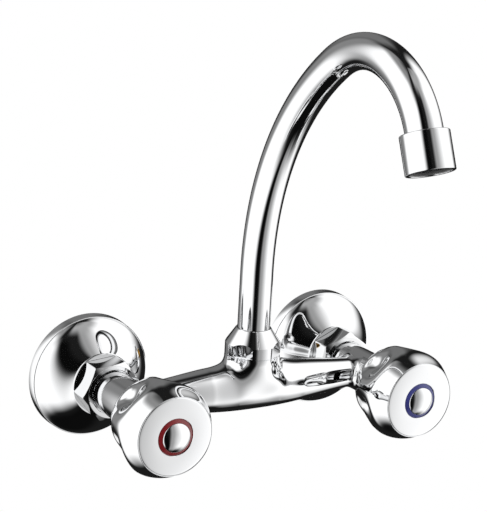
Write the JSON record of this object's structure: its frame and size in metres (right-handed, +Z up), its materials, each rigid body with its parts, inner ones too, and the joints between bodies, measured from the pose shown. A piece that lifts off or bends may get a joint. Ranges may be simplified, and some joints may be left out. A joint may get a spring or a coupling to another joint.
{
  "type": "wall-mounted kitchen mixer tap",
  "caption": "Wall-mounted kitchen mixer tap: round lobed handles turn its ceramic valves on a bridge body, and a high swivelling spout ends in an aerator.",
  "frame": {"origin": "on the wall's surface, midway between the two inlet axes", "axes": "+X along the wall towards the cold (right) inlet as the user faces the tap, +Y into the wall, so the tap reaches out along -Y, and +Z up"},
  "size_m": [0.2188, 0.2264, 0.2399],
  "materials": {
    "chrome": "polished chrome plating",
    "brass": "machined",
    "steel": "stainless",
    "rubber": "matt",
    "fibre": "pressed fibre",
    "ceramic": "lapped",
    "plastic": "moulded",
    "hot_ring": "glossy red",
    "cold_ring": "glossy blue"
  },
  "bodies": {
    "mixer_body": {"body": "chrome", "spout_collar": "chrome", "spout_slip_ring": "plastic", "left_wall_flange": "chrome", "right_wall_flange": "chrome", "left_s_union": "brass", "right_s_union": "brass", "left_union_nut": "chrome", "right_union_nut": "chrome", "left_union_washer": "fibre", "right_union_washer": "fibre", "left_retaining_ring": "steel", "right_retaining_ring": "steel", "left_headwork": "brass", "right_headwork": "brass", "left_headwork_seal": "rubber", "right_headwork_seal": "rubber", "left_seat_seal": "rubber", "right_seat_seal": "rubber", "left_fixed_disc": "ceramic", "right_fixed_disc": "ceramic"},
    "spout": {"spout_tube": "chrome", "spout_ferrule": "brass", "spout_o_rings": "rubber", "outlet_ferrule": "chrome", "aerator_housing": "chrome", "aerator_washer": "rubber", "aerator_cage": "plastic", "aerator_screen": "steel"},
    "left_handle": {"left_knob": "chrome", "left_index_ring": "hot_ring", "left_index_button": "chrome", "left_handle_screw": "steel", "left_spindle": "brass", "left_moving_disc": "ceramic", "left_spindle_o_rings": "rubber", "left_spindle_clip": "steel"},
    "right_handle": {"right_knob": "chrome", "right_index_ring": "cold_ring", "right_index_button": "chrome", "right_handle_screw": "steel", "right_spindle": "brass", "right_moving_disc": "ceramic", "right_spindle_o_rings": "rubber", "right_spindle_clip": "steel"}
  },
  "joints": [
    {"name": "spout_swivel", "type": "hinge", "parent": "mixer_body", "child": "spout", "pos_m": [0, -0.0528, 0], "axis": [0, 0, 1], "range_deg": [-100, 100]},
    {"name": "left_handle_turn", "type": "hinge", "parent": "mixer_body", "child": "left_handle", "pos_m": [-0.075, -0.09, 0], "axis": [0, -1, 0], "range_deg": [0, 180]},
    {"name": "right_handle_turn", "type": "hinge", "parent": "mixer_body", "child": "right_handle", "pos_m": [0.075, -0.09, 0], "axis": [0, -1, 0], "range_deg": [0, 180]}
  ]
}
